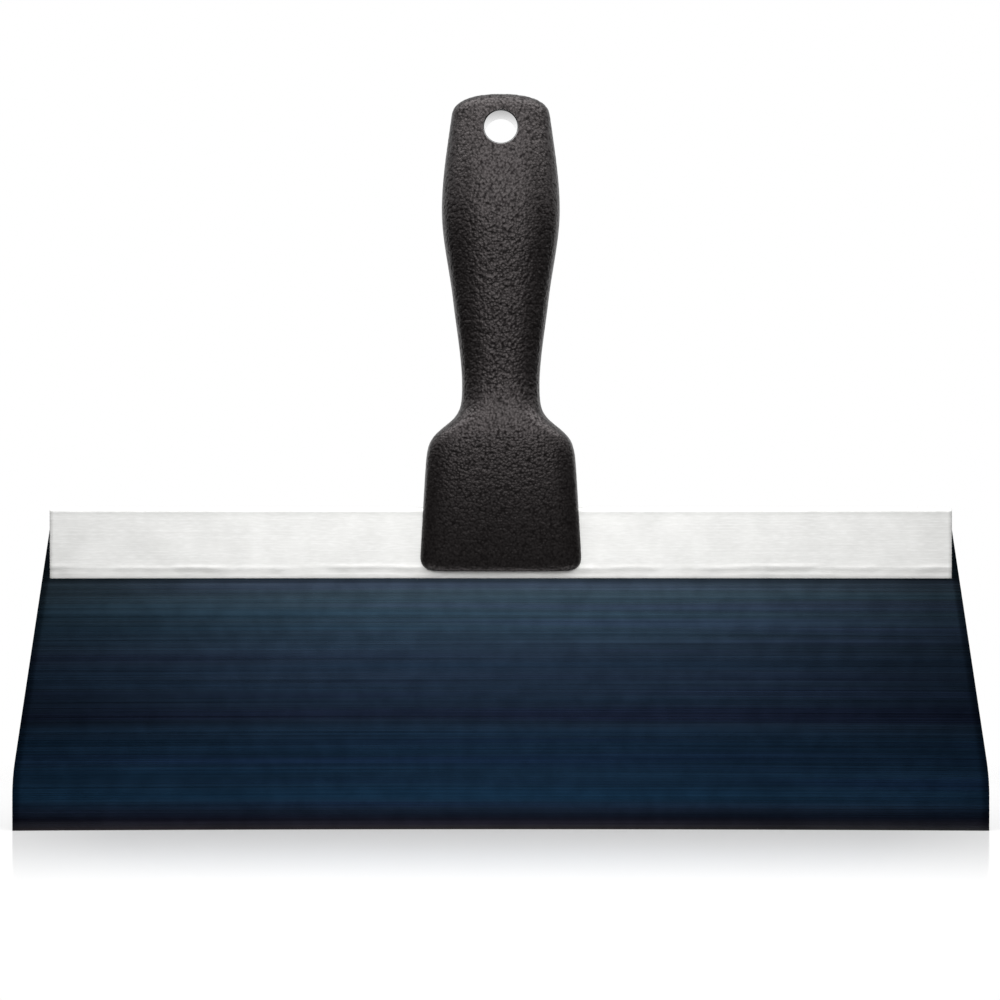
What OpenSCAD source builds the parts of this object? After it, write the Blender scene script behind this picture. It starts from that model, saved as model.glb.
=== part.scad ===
// Wide flexible filling knife: a blued spring-steel blade clamped in a folded metal backing,
// with a moulded plastic handle over the middle of the backing.
// X runs across the blade, Y from the front face to the back face, Z up along the handle.
// The origin is the centre of the hang hole, from which the knife hangs.

/* [Blade] */
// Width of the working edge
blade_w = 304.8; // [220:0.1:400]
// Height of blade that shows below the backing
blade_show = 78.7; // [60:0.1:120]
// Thickness of the blade sheet
blade_t = 0.5; // [0.4:0.05:0.8]
// Slant of the blade's sides from upright, in degrees
side_slant = 8.5; // [2:0.1:14]
// Height of the upright corners above the working edge
corner_h = 16.5; // [10:0.1:30]
// Radius between a slanted side and its upright corner
corner_r = 75; // [20:1:120]
// Height of the ground band along the working edge
grind_h = 4.6; // [2:0.1:8]
// Thickness left at the ground edge
edge_t = 0.24; // [0.1:0.01:0.36]
// Radius of the bow that the blade and the backing share
bow_r = 3870; // [2400:10:9000]

/* [Backing] */
// Height of the backing, fold included
back_h = 22.2; // [18:0.1:30]
// Thickness of the backing sheet
back_t = 1.2; // [0.8:0.05:2]
// How far the backing reaches past the top corners of the blade
back_over = 0.4; // [0:0.1:4]
// Room above the blade inside the fold
fold_room = 1.4; // [0.5:0.1:3]
// Bevel on the outer lower edges of the backing
lip_bevel = 0.3; // [0.1:0.05:0.5]
// Height of the crimp line above the lower edges of the backing
crimp_up = 2.3; // [1.5:0.1:4]
// Height over which the crimp draws the lip in
crimp_w = 1.5; // [0.8:0.1:2.5]
// How far the lip below the crimp line is pressed in
crimp_d = 0.25; // [0.1:0.05:0.5]

/* [Rivets] */
// Diameter of a rivet's shank
rivet_d = 4; // [3:0.1:5]
// Diameter of a rivet's head
rivet_head_d = 8; // [6:0.1:9]
// Thickness of a rivet's head
rivet_head_t = 1.2; // [0.8:0.1:1.6]
// Distance of each rivet from the middle of the knife
rivet_x = 14; // [11:0.1:17]

/* [Handle] */
// Length of the handle
handle_l = 149; // [120:0.5:180]
// Height of backing left bare below the foot
foot_up = 2.3; // [1:0.1:5]
// Width of the foot
foot_w = 51; // [44:0.1:70]
// Thickness of the foot at its lower edge
foot_t = 10.4; // [9:0.1:16]
// Radius of the foot's lower corners, seen from the front
foot_r = 4.2; // [1.5:0.1:5]
// Radius of the foot's lower edges, seen from the side
foot_edge_r = 2; // [0.5:0.1:3]
// Width of the shoulder above the foot
shoulder_w = 45.5; // [40:0.1:64]
// Thickness of the shoulder
shoulder_t = 20; // [16:0.1:26]
// Height of the middle of the shoulder above the foot's lower edge, at the handle's sides
shoulder_up = 45.3; // [40:0.1:55]
// The same height at the handle's front and back
shoulder_front_up = 49; // [42:0.1:58]
// Length over which the turn from shoulder to neck dies away, up and down
shoulder_fade = 2.1; // [1.4:0.1:3.2]
// Width of the neck
neck_w = 24.1; // [18:0.1:30]
// Thickness of the neck
neck_t = 15.6; // [12:0.1:20]
// Height of the neck above the foot's lower edge
neck_up = 57; // [50:0.1:66]
// Width of the waist between the neck and the grip
waist_w = 29.9; // [24:0.1:36]
// Thickness of the waist
waist_t = 18.6; // [15:0.1:24]
// Height of the waist above the foot's lower edge
waist_up = 85; // [76:0.1:94]
// Greatest width of the grip
grip_w = 36.9; // [30:0.1:44]
// Greatest thickness of the grip
grip_t = 22; // [18:0.1:28]
// Height of the grip's widest place above the foot's lower edge
grip_up = 113; // [100:0.1:118]
// Width at the butt, before its rounded end
butt_w = 29.2; // [24:0.1:36]
// Thickness at the butt, before its rounded end
butt_t = 13.6; // [11:0.1:20]
// Length of the rounded end of the butt
butt_round = 6.2; // [4:0.1:9]
// Squareness of the foot's cross-section, where 2 is an ellipse
foot_square = 5; // [3:0.1:7]
// Squareness of the grip's cross-section
grip_square = 2.8; // [2.2:0.1:4]
// Squareness of the butt's end, seen from the front
butt_square = 2.4; // [2:0.1:4]
// Squareness of the butt's end, seen from the side
butt_side_square = 3.4; // [2:0.1:5]
// Diameter of the hang hole
hole_d = 10.3; // [6:0.1:12]
// Distance of the hang hole's centre below the end of the butt
hole_drop = 11.2; // [10.5:0.1:16]
// Diameter of the plug of handle plastic through the backing and the blade
plug_d = 9; // [5:0.1:11]

/* [Hidden] */
$fn = 96;

// Heights along Z, from the hang hole down to the working edge
butt_z = hole_drop;
foot_z = butt_z - handle_l;
back_z = foot_z - foot_up;
fold_z = back_z + back_h;
edge_z = back_z - blade_show;
blade_top_z = fold_z - back_t - fold_room;

// The blade's half width where it is upright, where it is topmost, and where its corner arc begins and ends
blade_half = blade_w / 2;
blade_top_half = blade_half - (blade_top_z - edge_z - corner_h) * tan(side_slant);
corner_reach = corner_r * tan(side_slant / 2);
corner_steps = 6;

// Half thickness of the backing over the blade and at its pressed lip, and the reach of its ends
back_half_t = blade_t / 2 + back_t;
lip_half_t = back_half_t - crimp_d;
back_half = blade_top_half + back_over;

// Half way up the blade that the foot covers, where the rivets and the plug go through
hold_z = (foot_z + blade_top_z) / 2;

// Length of a rivet over both heads
rivet_l = 2 * (back_half_t + rivet_head_t);

// What a swept section reaches past the outline that trims it
bow_spare = 4;

// Depth that takes in every piece from front to back
clear_depth = grip_t + shoulder_t;

// Rings and points of the handle's loft
foot_rings = 5;
body_rings = 46;
butt_rings = 8;
ring_points = 56;

// Sweeps a section, drawn as thickness from the blade's middle against height, along the bow.
// It reaches a little more than half_w to each side, so that an outline can trim it.
module bowed(half_w) {
  angle = 2 * asin((half_w + bow_spare) / bow_r);
  translate([0, -bow_r, 0])
    rotate_extrude(angle = angle, start = 90 - angle / 2)
      translate([bow_r, 0])
        children();
}

// Extrudes an outline that is drawn as seen from the front, right through the knife
module through_front(depth) {
  rotate([90, 0, 0])
    linear_extrude(depth, center = true)
      children();
}

// A rod through the knife from front to back
module cross_rod(x, z, d, length) {
  translate([x, 0, z])
    rotate([90, 0, 0])
      cylinder(d = d, h = length, center = true);
}

// The blade

// Right-hand side of the blade from the edge up: upright corner, arc, slanted side
function blade_side() =
  let (turn_z = edge_z + corner_h - corner_reach)
  concat(
    [[blade_half, edge_z]],
    [for (i = [0 : corner_steps])
      let (a = side_slant * i / corner_steps)
      [blade_half - corner_r * (1 - cos(a)), turn_z + corner_r * sin(a)]],
    [[blade_top_half, blade_top_z]]
  );

function mirrored(side) = [for (i = [len(side) - 1 : -1 : 0]) [-side[i].x, side[i].y]];

module blade_outline() {
  polygon(concat(blade_side(), mirrored(blade_side())));
}

// Thickness of the blade against height, with both faces ground thinner at the edge
module blade_section() {
  side = [
    [edge_t / 2, edge_z],
    [blade_t / 2, edge_z + grind_h],
    [blade_t / 2, blade_top_z]
  ];
  polygon(concat(side, mirrored(side)));
}

module blade() {
  color("#22374f")
    difference() {
      intersection() {
        bowed(blade_half) blade_section();
        through_front(clear_depth) blade_outline();
      }
      hold_holes();
    }
}

// The holes for the rivets and the plug, which line up through the blade and the backing
module hold_holes() {
  for (side = [-1, 1])
    cross_rod(side * rivet_x, hold_z, rivet_d, clear_depth);
  cross_rod(0, hold_z, plug_d, clear_depth);
}

// The backing

// Outside of the folded sheet: two legs with bevelled lips that the crimp presses in, and the round fold
module backing_envelope() {
  side = [
    [lip_half_t - lip_bevel, back_z],
    [lip_half_t, back_z + lip_bevel],
    [lip_half_t, back_z + crimp_up - crimp_w / 2],
    [back_half_t, back_z + crimp_up + crimp_w / 2],
    [back_half_t, fold_z - back_half_t]
  ];
  polygon(concat(side, mirrored(side)));
  translate([0, fold_z - back_half_t])
    circle(r = back_half_t);
}

// Inside of the folded sheet: the slot that grips the blade, round at the fold
module backing_slot() {
  fold_mid = fold_z - back_half_t;
  translate([-blade_t / 2, back_z])
    square([blade_t, fold_mid - back_z]);
  translate([0, fold_mid])
    circle(d = blade_t);
}

module backing() {
  color("#cfd3d6")
    difference() {
      intersection() {
        bowed(back_half)
          difference() {
            backing_envelope();
            backing_slot();
          }
        through_front(clear_depth)
          translate([-back_half, back_z])
            square([2 * back_half, back_h]);
      }
      hold_holes();
    }
}

// The rivets

module blade_rivets() {
  color("#9aa0a4")
    for (side = [-1, 1]) {
      cross_rod(side * rivet_x, hold_z, rivet_d, rivet_l);
      difference() {
        cross_rod(side * rivet_x, hold_z, rivet_head_d, rivet_l);
        bowed(rivet_x + rivet_head_d / 2) backing_envelope();
      }
    }
}

// The handle

function mix(a, b, t) = a + (b - a) * t;

// A smooth curve through stations [height, size] that never overshoots them
function steepness(s, i) = (s[i + 1][1] - s[i][1]) / (s[i + 1][0] - s[i][0]);
function tilt(s, i) =
  i == 0 ? 0
  : i == len(s) - 1 ? steepness(s, i - 1)
  : let (a = steepness(s, i - 1), b = steepness(s, i)) a * b <= 0 ? 0 : 2 * a * b / (a + b);
function station(s, h, i = 0) = i == len(s) - 2 || h < s[i + 1][0] ? i : station(s, h, i + 1);
function curve_through(s, h) =
  h <= s[0][0] ? s[0][1]
  : let (
      i = station(s, h),
      run = s[i + 1][0] - s[i][0],
      t = (h - s[i][0]) / run
    )
    mix(s[i][1], s[i + 1][1], t * t * (3 - 2 * t))
    + run * t * (1 - t) * (tilt(s, i) * (1 - t) - tilt(s, i + 1) * t);

// How far the handle has turned from shoulder to neck at a height above its foot, from 0 to 1
function past_shoulder(h, turn_up) = 1 / (1 + exp((turn_up - h) / shoulder_fade));

// Sizes of the handle at a height above its foot: the foot and shoulder below, turning into the grip above.
// Seen from the front the foot is straight, and seen from the side it swells towards the shoulder.
function width(h) =
  let (grip = [[neck_up, neck_w], [waist_up, waist_w], [grip_up, grip_w], [handle_l, butt_w]])
  mix(mix(foot_w, shoulder_w, h / shoulder_up), curve_through(grip, h), past_shoulder(h, shoulder_up));
function thickness(h) =
  let (
    grip = [[neck_up, neck_t], [waist_up, waist_t], [grip_up, grip_t], [handle_l, butt_t]],
    swell = 1 - pow(1 - h / shoulder_front_up, 2)
  )
  mix(mix(foot_t, shoulder_t, swell), curve_through(grip, h), past_shoulder(h, shoulder_front_up));
function squareness(h) = mix(foot_square, grip_square, past_shoulder(h, shoulder_up));

// How far the foot's rounded edge draws a ring in, as a share of its radius, and how far the butt closes
function foot_draw(h) = h >= foot_r ? 0 : 1 - sqrt(1 - pow(1 - h / foot_r, 2));
function butt_close(h, square) =
  let (u = max(0, (h - handle_l + butt_round) / butt_round))
  pow(1 - pow(u, square), 1 / square);

// One ring of the loft: a superellipse at height h
function bent(v, power) = sign(v) * pow(abs(v), power);
function ring(h) =
  let (
    a = (width(h) / 2 - foot_r * foot_draw(h)) * butt_close(h, butt_square),
    b = (thickness(h) / 2 - foot_edge_r * foot_draw(h)) * butt_close(h, butt_side_square),
    power = 2 / squareness(h)
  )
  [for (i = [0 : ring_points - 1])
    let (angle = 360 * i / ring_points)
    [a * bent(cos(angle), power), b * bent(sin(angle), power), foot_z + h]];

// Heights of the rings: close together at both rounded ends, even along the body
ring_heights = concat(
  [for (i = [0 : foot_rings - 1]) foot_r * (1 - cos(90 * i / foot_rings))],
  [for (i = [0 : body_rings]) mix(foot_r, handle_l - butt_round, i / body_rings)],
  [for (i = [1 : butt_rings - 1]) handle_l - butt_round * (1 - sin(90 * i / butt_rings))]
);

module handle_body() {
  rows = len(ring_heights);
  end_point = rows * ring_points;
  points = concat(
    [for (h = ring_heights) each ring(h)],
    [[0, 0, butt_z]]
  );
  sides = [
    for (row = [0 : rows - 2], i = [0 : ring_points - 1])
      let (
        near = row * ring_points + i,
        far = row * ring_points + (i + 1) % ring_points
      )
      each [
        [near, far + ring_points, far],
        [near, near + ring_points, far + ring_points]
      ]
  ];
  last = (rows - 1) * ring_points;
  end = [for (i = [0 : ring_points - 1]) [last + i, end_point, last + (i + 1) % ring_points]];
  foot = [[for (i = [0 : ring_points - 1]) i]];
  polyhedron(points, concat(foot, sides, end), convexity = 4);
}

module handle() {
  color("#26272a")
    difference() {
      handle_body();
      difference() {
        bowed(foot_w / 2) backing_envelope();
        cross_rod(0, hold_z, plug_d, clear_depth);
      }
      for (side = [-1, 1])
        cross_rod(side * rivet_x, hold_z, rivet_head_d, rivet_l);
      cross_rod(0, 0, hole_d, clear_depth);
    }
}

blade();
backing();
blade_rivets();
handle();
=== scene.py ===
from bisect import bisect
from math import atan, atan2, copysign, cos, exp, pi, radians, sin, sqrt, tan

import bmesh
import bpy
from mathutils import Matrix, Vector, noise


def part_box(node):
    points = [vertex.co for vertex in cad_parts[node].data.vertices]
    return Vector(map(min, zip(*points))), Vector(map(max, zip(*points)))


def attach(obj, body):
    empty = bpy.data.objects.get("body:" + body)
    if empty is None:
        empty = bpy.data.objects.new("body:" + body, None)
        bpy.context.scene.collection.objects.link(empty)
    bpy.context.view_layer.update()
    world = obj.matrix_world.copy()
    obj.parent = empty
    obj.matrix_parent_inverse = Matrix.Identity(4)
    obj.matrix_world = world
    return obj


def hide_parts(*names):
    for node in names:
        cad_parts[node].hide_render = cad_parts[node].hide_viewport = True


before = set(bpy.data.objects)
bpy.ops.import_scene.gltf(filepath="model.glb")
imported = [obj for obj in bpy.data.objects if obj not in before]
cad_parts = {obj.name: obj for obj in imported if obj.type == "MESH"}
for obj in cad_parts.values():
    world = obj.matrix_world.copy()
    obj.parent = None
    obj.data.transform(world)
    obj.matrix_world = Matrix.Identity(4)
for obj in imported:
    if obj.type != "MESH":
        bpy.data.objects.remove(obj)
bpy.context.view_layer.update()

# The blade: one sheet of hardened spring steel, blued by heat, with rolling lines along its width.
# It is sheared to a fan with short upright corners, rolled to a slight bow, and ground thinner along
# its working edge.
MM = 0.001
BLADE_T = 0.5 * MM
EDGE_T = 0.24 * MM
GRIND_H = 4.6 * MM
CORNER_H = 16.5 * MM
CORNER_R = 75 * MM
SIDE_SLANT = radians(8.5)
BLADE_COLUMNS = 120
CORNER_ROWS = 6
SIDE_ROWS = 8
SHEARED_EDGE = 0.08 * MM

blade_low, blade_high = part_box("blade")
edge_z = blade_low.z
blade_h = blade_high.z - edge_z
blade_half = blade_high.x
bow_sag = -blade_low.y - BLADE_T / 2
bow_r = (blade_half**2 + bow_sag**2) / (2 * bow_sag)


def bow(x):
    """How far the blade and its backing lie in front of their middle, at a distance across."""
    return sqrt(bow_r**2 - x**2) - bow_r


def start_piece(name, size=(1, 1, 1)):
    """Names the primitive that was just added, puts its place in its mesh, and opens it at its size."""
    piece = bpy.context.object
    piece.name = name
    middle = piece.location.copy()
    bpy.ops.object.transform_apply(location=True, rotation=True)
    bpy.ops.object.mode_set(mode="EDIT")
    bpy.ops.transform.resize(value=size, center_override=middle)
    return piece


def pick(piece, wanted):
    """Selects the points of the piece in edit mode that pass a test of their place, with what they span."""
    mesh = bmesh.from_edit_mesh(piece.data)
    for point in mesh.verts:
        point.select_set(wanted(point.co))
    mesh.select_flush_mode()
    bmesh.update_edit_mesh(piece.data)


def finish_with(piece, kind, **settings):
    """Adds a modifier to the piece and applies it."""
    bpy.ops.object.modifier_add(type=kind)
    modifier = piece.modifiers[-1]
    for name, value in settings.items():
        setattr(modifier, name, value)
    bpy.ops.object.modifier_apply(modifier=modifier.name)


def bow_piece(piece):
    """Rolls a flat piece to the bow of the blade."""
    for point in piece.data.vertices:
        point.co.y += bow(point.co.x)


turn_up = CORNER_H - CORNER_R * tan(SIDE_SLANT / 2)


def blade_half_at(up):
    """Half the blade's width at a height above its edge: upright corner, arc, then slanted side."""
    if up <= turn_up:
        return blade_half
    if up <= turn_up + CORNER_R * sin(SIDE_SLANT):
        return blade_half - CORNER_R + sqrt(CORNER_R**2 - (up - turn_up) ** 2)
    return blade_half - (up - CORNER_H) * tan(SIDE_SLANT)


arc_ups = [turn_up + CORNER_R * sin(SIDE_SLANT * i / CORNER_ROWS) for i in range(CORNER_ROWS + 1)]
side_ups = [arc_ups[-1] + (blade_h - arc_ups[-1]) * i / SIDE_ROWS for i in range(1, SIDE_ROWS + 1)]

bpy.ops.object.select_all(action="DESELECT")
bpy.ops.mesh.primitive_grid_add(
    x_subdivisions=BLADE_COLUMNS,
    y_subdivisions=1,
    size=1,
    location=(0, 0, edge_z + GRIND_H / 2),
    rotation=(pi / 2, 0, 0),
)
blade = start_piece("blade_sheet", (2 * blade_half, 1, GRIND_H))
up = GRIND_H
pick(blade, lambda place: place.z > edge_z + up / 2)
for next_up in arc_ups + side_ups:
    bpy.ops.mesh.extrude_edges_move(TRANSFORM_OT_translate={"value": (0, 0, next_up - up)})
    widen = blade_half_at(next_up) / blade_half_at(up)
    bpy.ops.transform.resize(value=(widen, 1, 1), center_override=(0, 0, 0))
    up = next_up
bpy.ops.mesh.select_all(action="SELECT")
bpy.ops.mesh.normals_make_consistent()
bpy.ops.object.mode_set(mode="OBJECT")
finish_with(blade, "SOLIDIFY", thickness=BLADE_T, offset=0)
bpy.ops.object.mode_set(mode="EDIT")
pick(blade, lambda place: place.z < edge_z + GRIND_H / 2)
bpy.ops.transform.resize(value=(1, EDGE_T / BLADE_T, 1), center_override=(0, 0, 0))
pick(blade, lambda place: abs(place.z - edge_z - GRIND_H) < GRIND_H / 10)
bpy.ops.mesh.mark_sharp()
bpy.ops.mesh.select_all(action="SELECT")
bpy.ops.uv.cube_project(cube_size=1)
bpy.ops.object.mode_set(mode="OBJECT")
finish_with(blade, "BEVEL", width=SHEARED_EDGE, segments=2, limit_method="ANGLE", angle_limit=radians(60))
bow_piece(blade)
bpy.ops.object.shade_smooth_by_angle(angle=radians(35))


def linear(colour):
    """A colour written as sRGB hex, as the linear colour that a shader takes."""
    shares = [int(colour[i : i + 2], 16) / 255 for i in (1, 3, 5)]
    return [s / 12.92 if s <= 0.04045 else ((s + 0.055) / 1.055) ** 2.4 for s in shares] + [1]


def add_node(tree, kind, inputs={}, **settings):
    """Adds a node with its settings, and gives each input a value or links it to another node's output."""
    node = tree.nodes.new("ShaderNode" + kind)
    for name, value in settings.items():
        setattr(node, name, value)
    for name, value in inputs.items():
        if isinstance(value, bpy.types.NodeSocket):
            tree.links.new(value, node.inputs[name])
        else:
            node.inputs[name].default_value = value
    return node


def new_material(name):
    """An empty material, with its node tree and the places on the piece that its patterns follow."""
    material = bpy.data.materials.new(name)
    material.use_nodes = True
    tree = material.node_tree
    tree.nodes.clear()
    return material, tree, add_node(tree, "TexCoord").outputs["Object"]


def ramp_of(tree, share, stops):
    """A colour ramp over a share from 0 to 1, with stops as pairs of share and hex colour."""
    ramp = add_node(tree, "ValToRGB", {"Fac": share})
    marks = ramp.color_ramp.elements
    while len(marks) < len(stops):
        marks.new(0.5)
    for mark, (place, colour) in zip(marks, stops):
        mark.position = place
        mark.color = linear(colour)
    return ramp.outputs["Color"]


def ranged(tree, value, low, high, to_low=0, to_high=1, **settings):
    """A value's place between two bounds, as the same place between two others."""
    bounds = {"From Min": low, "From Max": high, "To Min": to_low, "To Max": to_high}
    return add_node(tree, "MapRange", {"Value": value, **bounds}, **settings).outputs[0]


def overlay(tree, share, base, pattern):
    """A colour under a pattern that darkens and lightens it."""
    colours = {"Factor": share, 6: base, 7: pattern}
    return add_node(tree, "Mix", colours, data_type="RGBA", blend_type="OVERLAY").outputs[2]


def grooved_metal(tree, colour, rough, relief):
    """Ends a material as bare metal, whose grooves across the knife draw the light out up and down."""
    grooves = add_node(tree, "Tangent", direction_type="UV_MAP", uv_map="UVMap")
    shader = add_node(
        tree,
        "BsdfPrincipled",
        {
            "Base Color": colour,
            "Metallic": 1,
            "Roughness": rough,
            "Anisotropic": 0.5,
            "Anisotropic Rotation": 0.25,
            "Tangent": grooves.outputs[0],
            "Normal": relief.outputs[0],
        },
    )
    add_node(tree, "OutputMaterial", {"Surface": shader.outputs[0]})


# Blued spring steel: heat tints, given in mm above the edge, run from grey blue under the backing through
# violet to blue and end brown black on the ground band. The grey blue that lightens towards the backing is
# a painted glow of the light panel, and the narrow dark band right under the backing is a painted shadow of
# its lip. The tints are a little cloudy, and paler towards the lower corners, which is painted light.
# Rolling and polishing leave long fine lines across the width.
TINTS_AND_PAINTED_LIGHT = [
    (0, "#3d3b3c"),
    (1.4, "#2a2b32"),
    (3.6, "#151824"),
    (6, "#222e40"),
    (10, "#24405a"),
    (28, "#2c4662"),
    (32, "#364b64"),
    (35.5, "#2d3a50"),
    (41, "#374b64"),
    (54, "#3c4e66"),
    # From here up the colour lightens and greys: a painted glow of the light panel.
    (66, "#465e72"),
    (76.8, "#506472"),
    # A painted shadow under the lip of the backing.
    (78.2, "#36444e"),
]
LINE_L = 300 * MM
BROAD_LINE_W = 5 * MM
LINE_W = 1.1 * MM
FINE_LINE_W = 0.45 * MM
CLOUD = 6 * MM
CORNER_LIGHT_FROM = 85 * MM
CORNER_LIGHT_UP = 36 * MM
CORNER_LIGHT_GAIN = 1.4


def streaks(tree, place, length, width, detail):
    """Noise drawn out into lines across the knife, of about that length and width."""
    drawn = add_node(tree, "Mapping", {"Vector": place, "Scale": (1 / length, 0, 1 / width)})
    lines = add_node(tree, "TexNoise", {"Vector": drawn.outputs[0], "Scale": 1, "Detail": detail})
    return lines.outputs["Fac"]


def blued_steel():
    material, tree, place = new_material("blued_spring_steel")
    axes = add_node(tree, "SeparateXYZ", {0: place})
    z = axes.outputs["Z"]
    across = add_node(tree, "Math", {0: axes.outputs["X"]}, operation="ABSOLUTE").outputs[0]
    up = ranged(tree, z, edge_z, edge_z + blade_h)
    tint_and_painted_light = ramp_of(tree, up, [(at * MM / blade_h, colour) for at, colour in TINTS_AND_PAINTED_LIGHT])
    broad = streaks(tree, place, LINE_L, BROAD_LINE_W, 2)
    lines = streaks(tree, place, LINE_L, LINE_W, 3)
    fine = streaks(tree, place, LINE_L / 2, FINE_LINE_W, 3)
    clouds = add_node(tree, "TexNoise", {"Vector": place, "Scale": 1 / CLOUD, "Detail": 3}).outputs["Fac"]
    cloudy = ramp_of(tree, clouds, [(0.35, "#b3b3b3"), (0.65, "#c5c5c5")])
    hue = ramp_of(tree, broad, [(0.35, "#8a7c92"), (0.5, "#808080"), (0.65, "#74868c")])
    light = ramp_of(tree, lines, [(0.3, "#6a6a6a"), (0.5, "#808080"), (0.7, "#9c9c9c")])
    tinted_and_lit = overlay(tree, 0.6, overlay(tree, 1, tint_and_painted_light, cloudy), hue)
    lined = overlay(tree, 0.8, tinted_and_lit, light)
    # Painted light: the colour is lifted towards the lower corners.
    ends = ranged(tree, across, CORNER_LIGHT_FROM, blade_half, 0, CORNER_LIGHT_GAIN)
    low = ranged(tree, z, edge_z, edge_z + CORNER_LIGHT_UP, 1, 0)
    pale = add_node(tree, "Math", {0: ends, 1: low, 2: 1}, operation="MULTIPLY_ADD").outputs[0]
    corner_lit = add_node(tree, "VectorMath", {0: lined, "Scale": pale}, operation="SCALE").outputs[0]
    rough = ranged(tree, fine, 0.3, 0.7, 0.24, 0.32)
    relief = add_node(tree, "Bump", {"Height": fine, "Strength": 0.3, "Distance": 0.02 * MM})
    grooved_metal(tree, corner_lit, rough, relief)
    return material


blade.data.materials.append(blued_steel())
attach(blade, "root")
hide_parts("blade")

# The backing: a strip of mill-finish aluminium sheet, folded double over the top of the blade to stiffen
# it. Rollers press both lower edges in against the blade, which leaves a bead and a crimp line that
# wander a little.
BACK_T = 1.2 * MM
CRIMP_UP = 2.3 * MM
CRIMP_W = 2 * MM
CRIMP_D = 0.09 * MM
CRIMP_WANDER = 0.45 * MM
CRIMP_UNEVEN = 0.9
CRIMP_ROWS = [-0.5, -0.3, -0.1, 0.1, 0.3, 0.5, 0.7, 0.9, 1.1, 1.3]
BEAD_D = 0.04 * MM
BEAD_UP, BEAD_HALF_H = 0.6, 0.5
BACK_COLUMNS = 220
FOLD_STEPS = 14
FOLD_START = 0.3 * MM
LIP_ROUND = 0.25 * MM

back_low, back_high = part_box("backing")
back_half = back_high.x
leg_y = BLADE_T / 2 + BACK_T / 2
fold_mid_z = back_high.z - BLADE_T / 2 - BACK_T
crimp_z = back_low.z + CRIMP_UP
leg_zs = [crimp_z + share * CRIMP_W for share in CRIMP_ROWS]
leg_zs += [fold_mid_z - FOLD_START, fold_mid_z]
lip_h = leg_zs[0] - back_low.z

bpy.ops.object.select_all(action="DESELECT")
bpy.ops.mesh.primitive_grid_add(
    x_subdivisions=BACK_COLUMNS,
    y_subdivisions=1,
    size=1,
    location=(0, -leg_y, back_low.z + lip_h / 2),
    rotation=(pi / 2, 0, 0),
)
backing = start_piece("backing_strip", (2 * back_half, 1, lip_h))
pick(backing, lambda place: place.z > back_low.z + lip_h / 2)
steps = [high - low for low, high in zip(leg_zs, leg_zs[1:])]
for step in steps:
    bpy.ops.mesh.extrude_edges_move(TRANSFORM_OT_translate={"value": (0, 0, step)})
bpy.ops.mesh.spin(steps=FOLD_STEPS, angle=pi, center=(0, 0, fold_mid_z), axis=(1, 0, 0))
for step in reversed([lip_h] + steps):
    bpy.ops.mesh.extrude_edges_move(TRANSFORM_OT_translate={"value": (0, 0, -step)})
bpy.ops.mesh.select_all(action="SELECT")
bpy.ops.mesh.remove_doubles(threshold=0.001 * MM)
bpy.ops.mesh.normals_make_consistent()
bpy.ops.object.mode_set(mode="OBJECT")
finish_with(backing, "SOLIDIFY", thickness=BACK_T, offset=0)


def smooth(t):
    """A step from 0 to 1 with rounded ends, as t runs from 0 to 1."""
    t = min(1, max(0, t))
    return t * t * (3 - 2 * t)


def wander(x):
    """A roller's slight wander along the strip, from -1 to 1."""
    return (sin(x / (19 * MM)) + 0.7 * sin(x / (7.3 * MM) + 1) + 0.5 * sin(x / (3.1 * MM) + 2)) / 2.2


# Heights here are counted in widths of the crimp line. The lip below it keeps a straight lower edge.
crimp_top = (CRIMP_ROWS[-2] + CRIMP_ROWS[-1]) / 2
for point in backing.data.vertices:
    above = (point.co.z - crimp_z) / CRIMP_W
    if abs(point.co.y) > leg_y and above < crimp_top:
        side = copysign(1, point.co.y)
        force = 1 + CRIMP_UNEVEN * wander(2 * point.co.x + 0.1)
        pressed = CRIMP_D * (1 - smooth(above - CRIMP_ROWS[0]))
        raised = BEAD_D * (1 - smooth(abs(above - BEAD_UP) / BEAD_HALF_H))
        point.co.y += side * (raised - pressed) * force
        if above > CRIMP_ROWS[0] - 0.1:
            point.co.z += CRIMP_WANDER * wander(side * point.co.x)
bow_piece(backing)
bpy.ops.object.mode_set(mode="EDIT")
bpy.ops.mesh.select_all(action="SELECT")
bpy.ops.uv.cube_project(cube_size=1)
bpy.ops.object.mode_set(mode="OBJECT")
finish_with(backing, "BEVEL", width=LIP_ROUND, segments=3, limit_method="ANGLE", angle_limit=radians(60))
bpy.ops.object.shade_smooth_by_angle(angle=radians(35))

# Mill-finish aluminium sheet: pale and satin, with rolling marks and short flecks along the strip, and
# faint blotches. It is stretched round the fold, and its colour is darkened a little there as painted shade.
ROLLING_L, ROLLING_W = 60 * MM, 0.6 * MM
FLECK_L, FLECK_W = 3 * MM, 0.5 * MM
BLOTCH = 9 * MM
FOLD_SHADE, FOLD_SHADE_H = 0.88, 1.6 * MM


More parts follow.
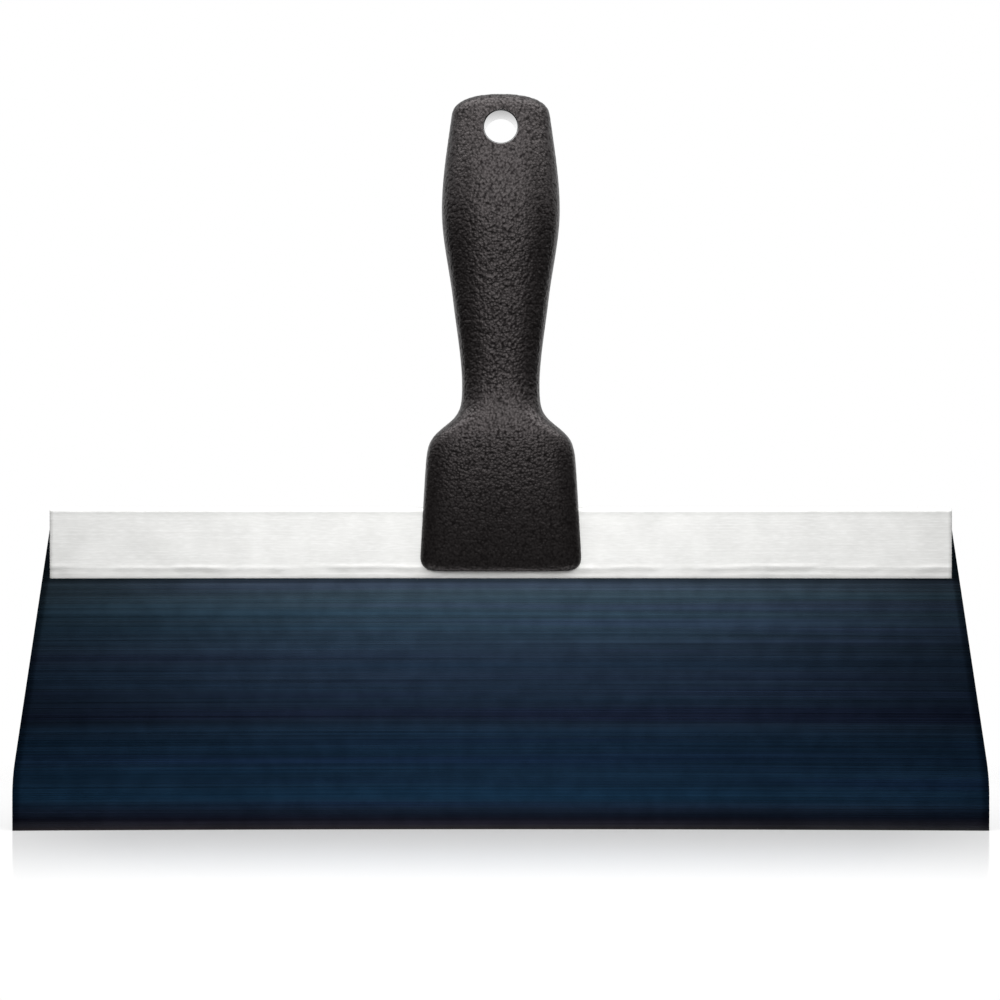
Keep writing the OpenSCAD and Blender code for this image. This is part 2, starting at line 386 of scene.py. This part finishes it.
def mill_aluminium():
    material, tree, place = new_material("mill_finish_aluminium")
    marks = streaks(tree, place, ROLLING_L, ROLLING_W, 4)
    flecks = streaks(tree, place, FLECK_L, FLECK_W, 2)
    worn = add_node(tree, "Mix", {"Factor": 0.5, 2: marks, 3: flecks}, data_type="FLOAT").outputs[0]
    blotches = add_node(tree, "TexNoise", {"Vector": place, "Scale": 1 / BLOTCH, "Detail": 4}).outputs["Fac"]
    pale = ramp_of(tree, blotches, [(0.3, "#e7e7e6"), (0.7, "#ececeb")])
    light = ramp_of(tree, worn, [(0.25, "#464646"), (0.5, "#808080"), (0.75, "#bababa")])
    marked = overlay(tree, 1, pale, light)
    z = add_node(tree, "SeparateXYZ", {0: place}).outputs["Z"]
    # Painted shade: the colour darkens towards the fold.
    fold_shade = ranged(tree, z, fold_mid_z - FOLD_SHADE_H, fold_mid_z, 1, FOLD_SHADE)
    fold_shaded = add_node(tree, "VectorMath", {0: marked, "Scale": fold_shade}, operation="SCALE").outputs[0]
    rough = ranged(tree, marks, 0.3, 0.7, 0.5, 0.58)
    relief = add_node(tree, "Bump", {"Height": marks, "Strength": 0.4, "Distance": 0.02 * MM})
    grooved_metal(tree, fold_shaded, rough, relief)
    return material


backing.data.materials.append(mill_aluminium())
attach(backing, "root")
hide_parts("backing")

# The rivets: two flat-headed steel rivets through backing and blade, closed before the handle is moulded
# on. The foot of the handle hides them, so they keep their plain form. Turned steel is grey, with fine
# marks.
TURNING_W = 0.3 * MM


def rivet_steel():
    material, tree, place = new_material("plain_rivet_steel")
    marks = streaks(tree, place, TURNING_W * 20, TURNING_W, 3)
    grey = ramp_of(tree, marks, [(0.3, "#8b8e92"), (0.7, "#a3a6a9")])
    shader = add_node(tree, "BsdfPrincipled", {"Base Color": grey, "Metallic": 1, "Roughness": 0.4})
    add_node(tree, "OutputMaterial", {"Surface": shader.outputs[0]})
    return material


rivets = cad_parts["blade_rivets"]
rivets.data.materials.clear()
rivets.data.materials.append(rivet_steel())

# The handle: one moulding in black polypropylene over the backing, with a leather grain etched in its
# mould. The mould parts in the plane of the blade, and a core pin leaves the smooth hang hole. Its form
# is given in mm above the foot.
HANDLE_L = 149
FOOT_W, FOOT_T = 51, 10.4
FOOT_R, FOOT_EDGE_R = 4.2, 1
SHOULDER_W, SHOULDER_T = 45.5, 20
SHOULDER_UP, SHOULDER_FRONT_UP, SHOULDER_FADE = 45.3, 49, 2.1
WIDTHS = [(57, 24.1), (85, 29.9), (113, 36.9), (HANDLE_L, 29.2)]
THICKNESSES = [(57, 15.6), (85, 18.6), (113, 22), (HANDLE_L, 13.6)]
BUTT_ROUND = 6.2
FOOT_SQUARE, GRIP_SQUARE = 5, 2.8
BUTT_SQUARE, BUTT_SIDE_SQUARE = 2.4, 3.4
RING_POINTS = 60
OUTLINE_STEPS = 60
FOOT_RINGS, BODY_RINGS, BUTT_RINGS = 5, 74, 8

foot_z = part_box("handle")[0].z


def mix(a, b, t):
    """The value a share of the way from one to another."""
    return a + (b - a) * t


def curve_through(stations, h):
    """A smooth curve through stations of height and size, which never overshoots them."""
    if h <= stations[0][0]:
        return stations[0][1]
    slopes = [(b[1] - a[1]) / (b[0] - a[0]) for a, b in zip(stations, stations[1:])]
    tilts = [0]
    for a, b in zip(slopes, slopes[1:]):
        tilts.append(0 if a * b <= 0 else 2 * a * b / (a + b))
    tilts.append(slopes[-1])
    i = max(n for n in range(len(slopes)) if h >= stations[n][0])
    run = stations[i + 1][0] - stations[i][0]
    t = (h - stations[i][0]) / run
    bulge = run * t * (1 - t) * (tilts[i] * (1 - t) - tilts[i + 1] * t)
    return mix(stations[i][1], stations[i + 1][1], smooth(t)) + bulge


def past_shoulder(h, shoulder_up):
    """How far the handle has turned from shoulder to neck at a height, from 0 to 1."""
    return 1 / (1 + exp((shoulder_up - h) / SHOULDER_FADE))


def section(h):
    """Half width, half thickness and squareness of the handle at a height above its foot, in mm."""
    grip = past_shoulder(h, SHOULDER_UP)
    width = mix(mix(FOOT_W, SHOULDER_W, h / SHOULDER_UP), curve_through(WIDTHS, h), grip)
    swell = 1 - (1 - h / SHOULDER_FRONT_UP) ** 2
    front_grip = past_shoulder(h, SHOULDER_FRONT_UP)
    thickness = mix(mix(FOOT_T, SHOULDER_T, swell), curve_through(THICKNESSES, h), front_grip)
    draw = 1 - sqrt(1 - max(0, 1 - h / FOOT_R) ** 2)
    past = max(0, (h - HANDLE_L + BUTT_ROUND) / BUTT_ROUND)
    return (
        (width / 2 - FOOT_R * draw) * (1 - past**BUTT_SQUARE) ** (1 / BUTT_SQUARE),
        (thickness / 2 - FOOT_EDGE_R * draw) * (1 - past**BUTT_SIDE_SQUARE) ** (1 / BUTT_SIDE_SQUARE),
        mix(FOOT_SQUARE, GRIP_SQUARE, grip),
    )


def even_quarter(half_w, half_t, square):
    """Evenly spread points on a quarter of a superellipse, from its side to its front."""
    turns = [pi / 2 * i / OUTLINE_STEPS for i in range(OUTLINE_STEPS + 1)]
    outline = [Vector((half_w * cos(t) ** (2 / square), half_t * sin(t) ** (2 / square))) for t in turns]
    walked = [0]
    for here, there in zip(outline, outline[1:]):
        walked.append(walked[-1] + (there - here).length)
    points = []
    for i in range(RING_POINTS // 4 + 1):
        goal = walked[-1] * i / (RING_POINTS // 4)
        step = min(bisect(walked, goal), OUTLINE_STEPS)
        share = (goal - walked[step - 1]) / (walked[step] - walked[step - 1])
        points.append(outline[step - 1].lerp(outline[step], share))
    return points


ring_ups = [FOOT_R * (1 - cos(pi / 2 * i / FOOT_RINGS)) for i in range(FOOT_RINGS)]
ring_ups += [mix(FOOT_R, HANDLE_L - BUTT_ROUND, i / BODY_RINGS) for i in range(BODY_RINGS + 1)]
ring_ups += [HANDLE_L - BUTT_ROUND * (1 - sin(pi / 2 * i / BUTT_RINGS)) for i in range(1, BUTT_RINGS)]

bpy.ops.object.select_all(action="DESELECT")
bpy.ops.mesh.primitive_circle_add(vertices=RING_POINTS, radius=FOOT_T / 2 * MM, location=(0, 0, foot_z))
handle = start_piece("handle_moulding")
for low, high in zip(ring_ups, ring_ups[1:]):
    bpy.ops.mesh.extrude_edges_move(TRANSFORM_OT_translate={"value": (0, 0, (high - low) * MM)})
bpy.ops.object.mode_set(mode="OBJECT")
quarters = [even_quarter(*section(up)) for up in ring_ups]
for i, point in enumerate(handle.data.vertices):
    turn = atan2(abs(point.co.y), abs(point.co.x)) / (2 * pi)
    place = quarters[i // RING_POINTS][round(turn * RING_POINTS)]
    point.co.x = copysign(place.x * MM, point.co.x)
    point.co.y = copysign(place.y * MM, point.co.y)
bpy.ops.object.mode_set(mode="EDIT")
pick(handle, lambda place: place.z > foot_z + (ring_ups[-1] - 0.01) * MM)
bpy.ops.mesh.fill_grid(span=RING_POINTS // 4)
pick(handle, lambda place: place.z < foot_z + 0.01 * MM)
bpy.ops.mesh.fill_grid(span=RING_POINTS // 4)
bpy.ops.mesh.select_all(action="SELECT")
bpy.ops.mesh.normals_make_consistent()
bpy.ops.object.mode_set(mode="OBJECT")
finish_with(handle, "SUBSURF", levels=2, render_levels=2)

# The leather grain is pressed into the moulding itself. It is shallower on the foot, and fades out round
# the hole and along the parting line.
GRAIN_PITCH = 0.95 * MM
GRAIN_DEPTH = 0.15 * MM
GRAIN_SWIRL = 0.4 * MM
FOOT_GRAIN = 0.55
GRAIN_SEED = 3
HOLE_R = 5.15 * MM
RIM_R = 0.6 * MM
BARE_RING = 0.8 * MM
PARTING_HALF_W = 0.3 * MM
PARTING_RISE = 0.06 * MM


def pebble(place):
    """Height of the grain at a place, from 0 in the creases to 1 on the domed crown of a pebble."""
    swirled = place + noise.noise_vector(place / (2 * GRAIN_PITCH)) * GRAIN_SWIRL
    from_crown = noise.voronoi(swirled / GRAIN_PITCH)[0][0]
    return max(0, 1 - (from_crown / 0.75) ** 2)


noise.seed_set(GRAIN_SEED)
outward = [corner.vector.copy() for corner in handle.data.vertex_normals]
for point, normal in zip(handle.data.vertices, outward):
    x, y, z = point.co
    clear_of_hole = (sqrt(x**2 + z**2) - HOLE_R - RIM_R) / BARE_RING
    clear_of_parting = abs(y) / PARTING_HALF_W - 1
    depth = GRAIN_DEPTH * mix(FOOT_GRAIN, 1, past_shoulder((z - foot_z) / MM, SHOULDER_UP))
    rise = depth * (pebble(point.co) - 0.5) * smooth(min(clear_of_hole, clear_of_parting))
    if abs(y) < PARTING_HALF_W / 3:
        rise = PARTING_RISE
    point.co += normal * rise
bpy.ops.object.shade_smooth()

# Moulded polypropylene: black, rougher in the creases of the grain than on the crowns of its pebbles. The
# creases are also painted darker and given a weaker shine, as painted shade.
# A finer grit over the grain is shallower on the foot, too.
GRIT = 0.68 * MM
GRIT_DEPTH = 0.16 * MM
FOOT_GRAIN_UP, FOOT_GRAIN_FADE = 38 * MM, 20 * MM


def grained_plastic():
    material, tree, place = new_material("grained_polypropylene")
    crowns = add_node(tree, "NewGeometry").outputs["Pointiness"]
    # Painted shade: the base colour is darker in the creases of the grain.
    black = ramp_of(tree, crowns, [(0.44, "#0b0a0a"), (0.5, "#110f0f"), (0.56, "#171515")])
    rough = ranged(tree, crowns, 0.45, 0.55, 0.42, 0.32)
    grit = add_node(
        tree, "TexVoronoi", {"Vector": place, "Scale": 1 / GRIT}, feature="SMOOTH_F1"
    ).outputs["Distance"]
    domes = add_node(tree, "Math", {0: grit, 1: 2}, operation="POWER").outputs[0]
    # Painted shade: the shine is weaker in the creases of the grain.
    crease_shaded_gloss = ranged(tree, grit, 0.25, 0.7, 0.58, 0.12)
    z = add_node(tree, "SeparateXYZ", {0: place}).outputs["Z"]
    foot_top = foot_z + FOOT_GRAIN_UP
    deep = ranged(tree, z, foot_top - FOOT_GRAIN_FADE, foot_top, FOOT_GRAIN, 1)
    relief = add_node(tree, "Bump", {"Height": domes, "Strength": deep, "Distance": GRIT_DEPTH}, invert=True)
    shader = add_node(
        tree,
        "BsdfPrincipled",
        {
            "Base Color": black,
            "Roughness": rough,
            "IOR": 1.49,
            "Specular IOR Level": crease_shaded_gloss,
            "Specular Tint": linear("#fff4f4"),
            "Normal": relief.outputs[0],
        },
    )
    add_node(tree, "OutputMaterial", {"Surface": shader.outputs[0]})
    return material


handle.data.materials.append(grained_plastic())

# The hang hole is cut with a rim that follows the handle's crown, and the slot with room for the backing.
HOLE_POINTS = 96
RIM_STEPS = 6
RIM_LIFT = 0.05 * MM
REACH = 20 * MM
SLOT_ROOM = 0.1 * MM


def crown_at(x, z):
    """How far the handle's face lies from its middle plane at a place, in metres."""
    half_w, half_t, square = section((z - foot_z) / MM)
    return half_t * MM * (1 - (abs(x) / (half_w * MM)) ** square) ** (1 / square)


bpy.ops.object.select_all(action="DESELECT")
bpy.ops.mesh.primitive_circle_add(
    vertices=HOLE_POINTS, radius=HOLE_R, fill_type="NGON", location=(0, -REACH, 0), rotation=(pi / 2, 0, 0)
)
pin = start_piece("core_pin")
rim_turns = [pi / 2 * i / RIM_STEPS for i in range(RIM_STEPS + 1)]
ring_count = 2 * len(rim_turns) + 2
bpy.ops.mesh.select_all(action="SELECT")
for i in range(ring_count - 1):
    bpy.ops.mesh.extrude_region_move(
        TRANSFORM_OT_translate={"value": (0, 2 * REACH / (ring_count - 1), 0)}
    )
bpy.ops.mesh.select_all(action="SELECT")
bpy.ops.mesh.normals_make_consistent()
bpy.ops.object.mode_set(mode="OBJECT")
for point in pin.data.vertices:
    ring = round((point.co.y + REACH) / (2 * REACH) * (ring_count - 1))
    from_end = min(ring, ring_count - 1 - ring)
    side = -1 if ring < ring_count / 2 else 1
    turn = rim_turns[max(0, from_end - 1)]
    spread = (HOLE_R + RIM_R * (1 - sin(turn))) / HOLE_R
    point.co.x *= spread
    point.co.z *= spread
    if from_end > 0:
        depth = RIM_R * (1 - cos(turn)) - RIM_LIFT
        point.co.y = side * (crown_at(point.co.x, point.co.z) - depth)


def smooth_plastic():
    """The plastic where a polished core pin shaped it: no grain, and a skin that mirrors the light."""
    material, tree, place = new_material("smooth_polypropylene")
    flow = add_node(tree, "TexNoise", {"Vector": place, "Scale": 1 / (2 * MM), "Detail": 2}).outputs["Fac"]
    black = ramp_of(tree, flow, [(0.3, "#161616"), (0.7, "#1f1f20")])
    rough = ranged(tree, flow, 0.3, 0.7, 0.04, 0.2)
    shader = add_node(
        tree,
        "BsdfPrincipled",
        {"Base Color": black, "Roughness": rough, "IOR": 1.49, "Specular IOR Level": 1, "Coat Weight": 1},
    )
    add_node(tree, "OutputMaterial", {"Surface": shader.outputs[0]})
    return material


pin.data.materials.append(smooth_plastic())
pin.select_set(False)

bpy.ops.mesh.primitive_cube_add(size=1, location=(0, 0, back_high.z - REACH))
slot_w = 2 * (leg_y + BACK_T / 2 + SLOT_ROOM)
slot = start_piece("backing_slot", (4 * REACH, slot_w, 2 * REACH + 2 * SLOT_ROOM))
pick(slot, lambda place: place.z > back_high.z)
bpy.ops.mesh.bevel(offset=leg_y, segments=6)
bpy.ops.object.mode_set(mode="OBJECT")
slot.data.materials.append(pin.data.materials[0])
slot.select_set(False)

bpy.context.view_layer.objects.active = handle
for cutter in (pin, slot):
    finish_with(
        handle, "BOOLEAN", operation="DIFFERENCE", object=cutter, solver="EXACT", material_mode="TRANSFER"
    )
    bpy.data.objects.remove(cutter)
handle.select_set(True)
bpy.ops.object.shade_smooth_by_angle(angle=radians(60))
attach(handle, "root")
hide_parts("handle")

# The studio: the knife stands on its edge on white acrylic, in front of white, under a soft box and facing
# a tall light panel. Dark cloth hangs and lies round the front of the set, out of the picture.
PICTURE_W = 313.5 * MM
CAMERA_AWAY = 630 * MM
CAMERA_X = -0.25 * MM
CAMERA_Z = -115.6 * MM
FLOOR_R = 260 * MM
FADE_FROM, FADE_TO = 0.45 * FLOOR_R, 0.95 * FLOOR_R
SHINE, SHINE_REACH = 0.43, 134 * MM
TOP_W, TOP_D = 1100 * MM, 450 * MM
TOP_PLACE = Vector((0, -200 * MM, 430 * MM))
TOP_POWER = 6.2
PANEL_W, PANEL_H = 460 * MM, 830 * MM
PANEL_PLACE = Vector((0, -1200 * MM, 285 * MM))
PANEL_POWER = 4.9
CLOTH_R = 5 * MM
CURTAIN_R = 1400 * MM
CURTAIN_HIGH = 150 * MM
CURTAIN_OPEN_Y = 680 * MM
CLOTH_UNDER = 2 * MM
SURROUND_LIGHT = 0.22

bpy.ops.object.select_all(action="DESELECT")
bpy.ops.mesh.primitive_circle_add(vertices=96, radius=FLOOR_R, fill_type="NGON", location=(0, 0, edge_z))
floor = bpy.context.object
floor.name = "floor"
bpy.ops.object.transform_apply(location=True)


def white_acrylic():
    """White, dim in what the knife mirrors, with a shine that shows the blade's foot and then fades out."""
    material, tree, place = new_material("white_acrylic")
    axes = add_node(tree, "SeparateXYZ", {0: place})
    across = add_node(tree, "Math", {0: axes.outputs["Y"]}, operation="ABSOLUTE").outputs[0]
    shine = ranged(tree, across, 0, SHINE_REACH, SHINE, 0, interpolation_type="SMOOTHSTEP")
    mirrored = add_node(tree, "LightPath").outputs["Is Glossy Ray"]
    white = add_node(
        tree, "Mix", {"Factor": mirrored, 6: linear("#f8f8f8"), 7: linear("#4a4a4a")}, data_type="RGBA"
    ).outputs[2]
    body = add_node(tree, "BsdfDiffuse", {"Color": white})
    polish = add_node(tree, "BsdfGlossy", {"Color": linear("#ffffff"), "Roughness": 0.12})
    shader = add_node(tree, "MixShader", {0: shine, 1: body.outputs[0], 2: polish.outputs[0]})
    middle = (0, 0, edge_z)
    around = add_node(tree, "VectorMath", {0: place, 1: middle}, operation="DISTANCE").outputs["Value"]
    fade = ranged(tree, around, FADE_FROM, FADE_TO)
    clear = add_node(tree, "BsdfTransparent")
    surface = add_node(tree, "MixShader", {0: fade, 1: shader.outputs[0], 2: clear.outputs[0]})
    add_node(tree, "OutputMaterial", {"Surface": surface.outputs[0]})
    return material


floor.data.materials.append(white_acrylic())


def dark_cloth():
    """Grey molton, whose loose weave leaves it a little uneven."""
    material, tree, place = new_material("dark_cloth")
    weave = add_node(tree, "TexNoise", {"Vector": place, "Scale": 1 / (5 * MM)}).outputs["Fac"]
    dark = ramp_of(tree, weave, [(0.3, "#262626"), (0.7, "#2e2e2e")])
    shader = add_node(tree, "BsdfDiffuse", {"Color": dark})
    add_node(tree, "OutputMaterial", {"Surface": shader.outputs[0]})
    return material


bpy.ops.mesh.primitive_circle_add(vertices=64, radius=CURTAIN_R, location=(0, 0, edge_z - CLOTH_UNDER))
curtain = start_piece("curtain")
pick(curtain, lambda place: place.y > CURTAIN_OPEN_Y)
bpy.ops.mesh.delete(type="VERT")
bpy.ops.mesh.select_all(action="SELECT")
bpy.ops.mesh.extrude_edges_move(TRANSFORM_OT_translate={"value": (0, 0, CURTAIN_HIGH - edge_z)})
pick(curtain, lambda place: place.z < edge_z)
bpy.ops.mesh.extrude_edges_move()
bpy.ops.transform.resize(value=(CLOTH_R / CURTAIN_R, CLOTH_R / CURTAIN_R, 1), center_override=(0, 0, 0))
bpy.ops.object.mode_set(mode="OBJECT")
curtain.data.materials.append(dark_cloth())
curtain.visible_camera = False

world = bpy.data.worlds.new("white_studio")
bpy.context.scene.world = world
world.use_nodes = True
world.node_tree.nodes.clear()
rays = add_node(world.node_tree, "LightPath")
seen = add_node(
    world.node_tree,
    "Math",
    {0: rays.outputs["Is Camera Ray"], 1: rays.outputs["Is Glossy Ray"]},
    operation="MAXIMUM",
)
shown = add_node(
    world.node_tree,
    "Math",
    {0: seen.outputs[0], 1: rays.outputs["Is Transmission Ray"]},
    operation="MAXIMUM",
)
level = ranged(world.node_tree, shown.outputs[0], 0, 1, SURROUND_LIGHT, 1)
white = add_node(world.node_tree, "Background", {"Color": linear("#ffffff"), "Strength": level})
add_node(world.node_tree, "OutputWorld", {"Surface": white.outputs[0]})


def add_softbox(name, place, aim, size, power):
    """An area light at a place, turned to what it is aimed at."""
    turn = (aim - place).to_track_quat("-Z", "Y").to_euler()
    bpy.ops.object.light_add(type="AREA", location=place, rotation=turn)
    softbox = bpy.context.object
    softbox.name = name
    softbox.data.shape = "RECTANGLE"
    softbox.data.size, softbox.data.size_y = size
    softbox.data.energy = power


blade_middle = Vector((0, 0, edge_z + blade_h / 2))
panel_aim = Vector((PANEL_PLACE.x, 0, PANEL_PLACE.z))
add_softbox("top_softbox", TOP_PLACE, blade_middle, (TOP_W, TOP_D), TOP_POWER)
add_softbox("light_panel", PANEL_PLACE, panel_aim, (PANEL_W, PANEL_H), PANEL_POWER)

bpy.ops.object.camera_add(location=(CAMERA_X, -CAMERA_AWAY, CAMERA_Z), rotation=(pi / 2, 0, 0))
camera = bpy.context.object
camera.data.angle = 2 * atan(PICTURE_W / 2 / CAMERA_AWAY)
bpy.context.scene.camera = camera
bpy.context.scene.view_settings.view_transform = "Standard"
